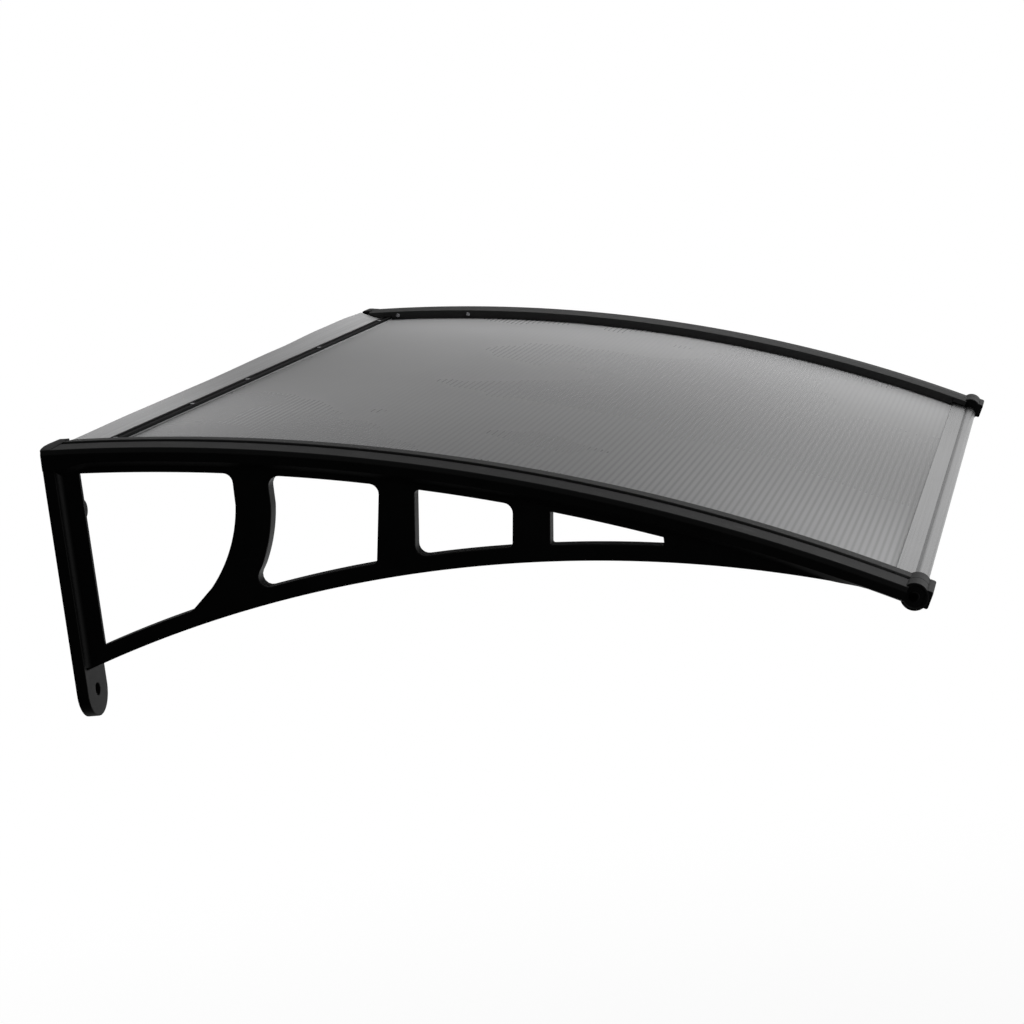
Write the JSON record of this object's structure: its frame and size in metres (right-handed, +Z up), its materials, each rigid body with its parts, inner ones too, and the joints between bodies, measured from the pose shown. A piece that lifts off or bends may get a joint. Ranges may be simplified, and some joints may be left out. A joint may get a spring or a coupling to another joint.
{
  "type": "door canopy",
  "caption": "Fixed door canopy: an arched twin-wall sheet between moulded wall brackets with open windows, a front profile and a seal at the wall.",
  "frame": {"origin": "on the wall plane, midway between the brackets, level with the top face of the sheet at the wall", "axes": "+X along the wall, to the right of someone who faces the door; +Y into the wall; +Z up"},
  "size_m": [1.2, 0.7798, 0.2559],
  "materials": {
    "black_moulding": "satin black moulded plastic",
    "grey_polycarbonate": "grey translucent polycarbonate, glossy, fluted",
    "satin_aluminium": "satin anodised",
    "black_rail": "dark satin",
    "grey_seal": "glossy grey",
    "zinc_screw": "bright zinc",
    "black_screw": "black"
  },
  "bodies": {
    "root": {"left_bracket": "black_moulding", "right_bracket": "black_moulding", "left_clamp_strip": "black_moulding", "right_clamp_strip": "black_moulding", "roof_sheet": "grey_polycarbonate", "front_profile": "satin_aluminium", "rear_rail": "black_rail", "wall_seal": "grey_seal", "left_clamp_screw_1": "zinc_screw", "left_clamp_screw_2": "zinc_screw", "left_clamp_screw_3": "zinc_screw", "left_clamp_screw_4": "zinc_screw", "left_side_screw_1": "zinc_screw", "left_side_screw_2": "zinc_screw", "left_nose_screw": "black_screw", "right_clamp_screw_1": "zinc_screw", "right_clamp_screw_2": "zinc_screw", "right_clamp_screw_3": "zinc_screw", "right_clamp_screw_4": "zinc_screw", "right_side_screw_1": "zinc_screw", "right_side_screw_2": "zinc_screw", "right_nose_screw": "black_screw", "rail_screw_1": "zinc_screw", "rail_screw_2": "zinc_screw", "rail_screw_3": "zinc_screw", "rail_screw_4": "zinc_screw", "rail_screw_5": "zinc_screw"}
  },
  "joints": []
}
